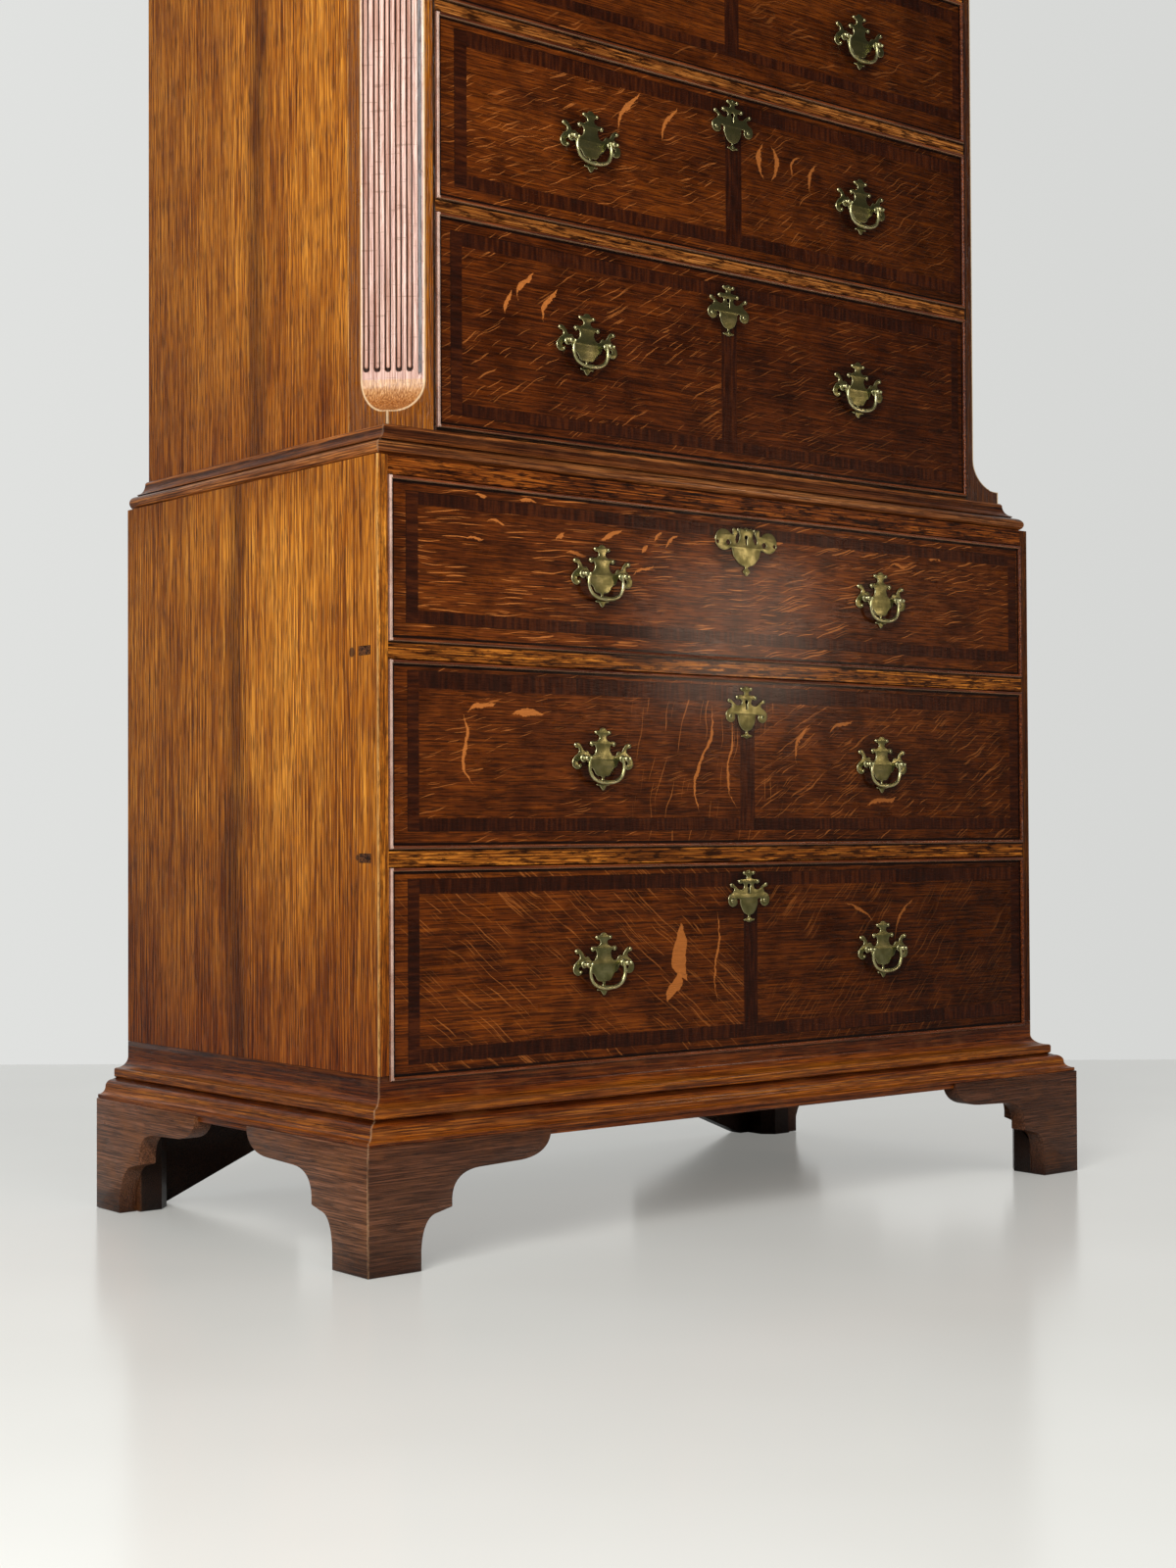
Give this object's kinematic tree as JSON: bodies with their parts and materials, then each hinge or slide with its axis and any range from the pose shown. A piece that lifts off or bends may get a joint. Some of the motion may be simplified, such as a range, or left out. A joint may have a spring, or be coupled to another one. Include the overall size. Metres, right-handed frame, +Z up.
{
  "type": "chest on chest",
  "caption": "Tall oak chest of drawers in two stages on bracket feet, with crossbanded cockbeaded drawers, fluted canted corners, moulded waist and cornice, and brass bail handles.",
  "frame": {"origin": "middle of the floor area that the chest covers, on the floor", "axes": "+Z up, the drawers open towards -Y, +X to the right of a person who faces the drawers"},
  "size_m": [1.082, 0.5644, 1.7463],
  "materials": {
    "side_oak": "waxed golden brown oak, vertical grain",
    "rail_oak": "waxed red brown oak",
    "moulding_oak": "waxed dark brown oak",
    "drawer_oak": "waxed dark red brown oak with dark crossbanding",
    "inside_oak": "bare oak and pine",
    "brass": "old lacquered brass, worn bright on edges"
  },
  "bodies": {
    "case": {"lower_side_right": "side_oak", "lower_side_left": "side_oak", "lower_top_board": "rail_oak", "lower_bottom_board": "inside_oak", "lower_backboard": "inside_oak", "lower_rail_1": "rail_oak", "lower_rail_2": "rail_oak", "base_moulding": "moulding_oak", "front_foot_right": "moulding_oak", "front_foot_left": "moulding_oak", "rear_foot_right": "moulding_oak", "rear_foot_left": "moulding_oak", "waist_moulding": "moulding_oak", "upper_side_right": "side_oak", "upper_side_left": "side_oak", "corner_post_right": "rail_oak", "corner_post_left": "rail_oak", "upper_top_board": "inside_oak", "upper_bottom_board": "inside_oak", "upper_backboard": "inside_oak", "upper_rail_1": "rail_oak", "upper_rail_2": "rail_oak", "divided_rail": "rail_oak", "cornice": "moulding_oak"},
    "lower_drawer_1": {"lower_drawer_1": "drawer_oak", "lower_drawer_1_left_plate": "brass", "lower_drawer_1_right_plate": "brass"},
    "lower_drawer_1_left_bail": {"lower_drawer_1_left_bail": "brass"},
    "lower_drawer_1_right_bail": {"lower_drawer_1_right_bail": "brass"},
    "lower_drawer_2": {"lower_drawer_2": "drawer_oak", "lower_drawer_2_left_plate": "brass", "lower_drawer_2_right_plate": "brass"},
    "lower_drawer_2_left_bail": {"lower_drawer_2_left_bail": "brass"},
    "lower_drawer_2_right_bail": {"lower_drawer_2_right_bail": "brass"},
    "lower_drawer_3": {"lower_drawer_3": "drawer_oak", "lower_drawer_3_left_plate": "brass", "lower_drawer_3_right_plate": "brass"},
    "lower_drawer_3_left_bail": {"lower_drawer_3_left_bail": "brass"},
    "lower_drawer_3_right_bail": {"lower_drawer_3_right_bail": "brass"},
    "upper_drawer_1": {"upper_drawer_1": "drawer_oak", "upper_drawer_1_left_plate": "brass", "upper_drawer_1_right_plate": "brass"},
    "upper_drawer_1_left_bail": {"upper_drawer_1_left_bail": "brass"},
    "upper_drawer_1_right_bail": {"upper_drawer_1_right_bail": "brass"},
    "upper_drawer_2": {"upper_drawer_2": "drawer_oak", "upper_drawer_2_left_plate": "brass", "upper_drawer_2_right_plate": "brass"},
    "upper_drawer_2_left_bail": {"upper_drawer_2_left_bail": "brass"},
    "upper_drawer_2_right_bail": {"upper_drawer_2_right_bail": "brass"},
    "upper_drawer_3": {"upper_drawer_3": "drawer_oak", "upper_drawer_3_left_plate": "brass", "upper_drawer_3_right_plate": "brass"},
    "upper_drawer_3_left_bail": {"upper_drawer_3_left_bail": "brass"},
    "upper_drawer_3_right_bail": {"upper_drawer_3_right_bail": "brass"},
    "short_drawer_left": {"short_drawer_left": "drawer_oak", "short_drawer_left_plate": "brass"},
    "short_drawer_left_bail": {"short_drawer_left_bail": "brass"},
    "short_drawer_right": {"short_drawer_right": "drawer_oak", "short_drawer_right_plate": "brass"},
    "short_drawer_right_bail": {"short_drawer_right_bail": "brass"}
  },
  "joints": [
    {"name": "lower_drawer_1_slide", "type": "slide", "parent": "case", "child": "lower_drawer_1", "axis": [0, -1, 0], "range_m": [0, 0.36]},
    {"name": "lower_drawer_1_left_bail_hinge", "type": "hinge", "parent": "lower_drawer_1", "child": "lower_drawer_1_left_bail", "pos_m": [-0.208, -0.2494, 0.2917], "axis": [-1, 0, 0], "range_deg": [-5, 170]},
    {"name": "lower_drawer_1_right_bail_hinge", "type": "hinge", "parent": "lower_drawer_1", "child": "lower_drawer_1_right_bail", "pos_m": [0.228, -0.2494, 0.2917], "axis": [-1, 0, 0], "range_deg": [-5, 170]},
    {"name": "lower_drawer_2_slide", "type": "slide", "parent": "case", "child": "lower_drawer_2", "axis": [0, -1, 0], "range_m": [0, 0.36]},
    {"name": "lower_drawer_2_left_bail_hinge", "type": "hinge", "parent": "lower_drawer_2", "child": "lower_drawer_2_left_bail", "pos_m": [-0.208, -0.2494, 0.51305], "axis": [-1, 0, 0], "range_deg": [-5, 170]},
    {"name": "lower_drawer_2_right_bail_hinge", "type": "hinge", "parent": "lower_drawer_2", "child": "lower_drawer_2_right_bail", "pos_m": [0.228, -0.2494, 0.51305], "axis": [-1, 0, 0], "range_deg": [-5, 170]},
    {"name": "lower_drawer_3_slide", "type": "slide", "parent": "case", "child": "lower_drawer_3", "axis": [0, -1, 0], "range_m": [0, 0.36]},
    {"name": "lower_drawer_3_left_bail_hinge", "type": "hinge", "parent": "lower_drawer_3", "child": "lower_drawer_3_left_bail", "pos_m": [-0.208, -0.2494, 0.7114], "axis": [-1, 0, 0], "range_deg": [-5, 170]},
    {"name": "lower_drawer_3_right_bail_hinge", "type": "hinge", "parent": "lower_drawer_3", "child": "lower_drawer_3_right_bail", "pos_m": [0.228, -0.2494, 0.7114], "axis": [-1, 0, 0], "range_deg": [-5, 170]},
    {"name": "upper_drawer_1_slide", "type": "slide", "parent": "case", "child": "upper_drawer_1", "axis": [0, -1, 0], "range_m": [0, 0.36]},
    {"name": "upper_drawer_1_left_bail_hinge", "type": "hinge", "parent": "upper_drawer_1", "child": "upper_drawer_1_left_bail", "pos_m": [-0.209, -0.2266, 0.967], "axis": [-1, 0, 0], "range_deg": [-5, 170]},
    {"name": "upper_drawer_1_right_bail_hinge", "type": "hinge", "parent": "upper_drawer_1", "child": "upper_drawer_1_right_bail", "pos_m": [0.215, -0.2266, 0.967], "axis": [-1, 0, 0], "range_deg": [-5, 170]},
    {"name": "upper_drawer_2_slide", "type": "slide", "parent": "case", "child": "upper_drawer_2", "axis": [0, -1, 0], "range_m": [0, 0.36]},
    {"name": "upper_drawer_2_left_bail_hinge", "type": "hinge", "parent": "upper_drawer_2", "child": "upper_drawer_2_left_bail", "pos_m": [-0.2025, -0.2266, 1.1912], "axis": [-1, 0, 0], "range_deg": [-5, 170]},
    {"name": "upper_drawer_2_right_bail_hinge", "type": "hinge", "parent": "upper_drawer_2", "child": "upper_drawer_2_right_bail", "pos_m": [0.2215, -0.2266, 1.1912], "axis": [-1, 0, 0], "range_deg": [-5, 170]},
    {"name": "upper_drawer_3_slide", "type": "slide", "parent": "case", "child": "upper_drawer_3", "axis": [0, -1, 0], "range_m": [0, 0.36]},
    {"name": "upper_drawer_3_left_bail_hinge", "type": "hinge", "parent": "upper_drawer_3", "child": "upper_drawer_3_left_bail", "pos_m": [-0.2025, -0.2266, 1.393], "axis": [-1, 0, 0], "range_deg": [-5, 170]},
    {"name": "upper_drawer_3_right_bail_hinge", "type": "hinge", "parent": "upper_drawer_3", "child": "upper_drawer_3_right_bail", "pos_m": [0.2215, -0.2266, 1.393], "axis": [-1, 0, 0], "range_deg": [-5, 170]},
    {"name": "short_drawer_left_slide", "type": "slide", "parent": "case", "child": "short_drawer_left", "axis": [0, -1, 0], "range_m": [0, 0.36]},
    {"name": "short_drawer_left_bail_hinge", "type": "hinge", "parent": "short_drawer_left", "child": "short_drawer_left_bail", "pos_m": [-0.2025, -0.2266, 1.577], "axis": [-1, 0, 0], "range_deg": [-5, 170]},
    {"name": "short_drawer_right_slide", "type": "slide", "parent": "case", "child": "short_drawer_right", "axis": [0, -1, 0], "range_m": [0, 0.36]},
    {"name": "short_drawer_right_bail_hinge", "type": "hinge", "parent": "short_drawer_right", "child": "short_drawer_right_bail", "pos_m": [0.2145, -0.2266, 1.577], "axis": [-1, 0, 0], "range_deg": [-5, 170]}
  ]
}
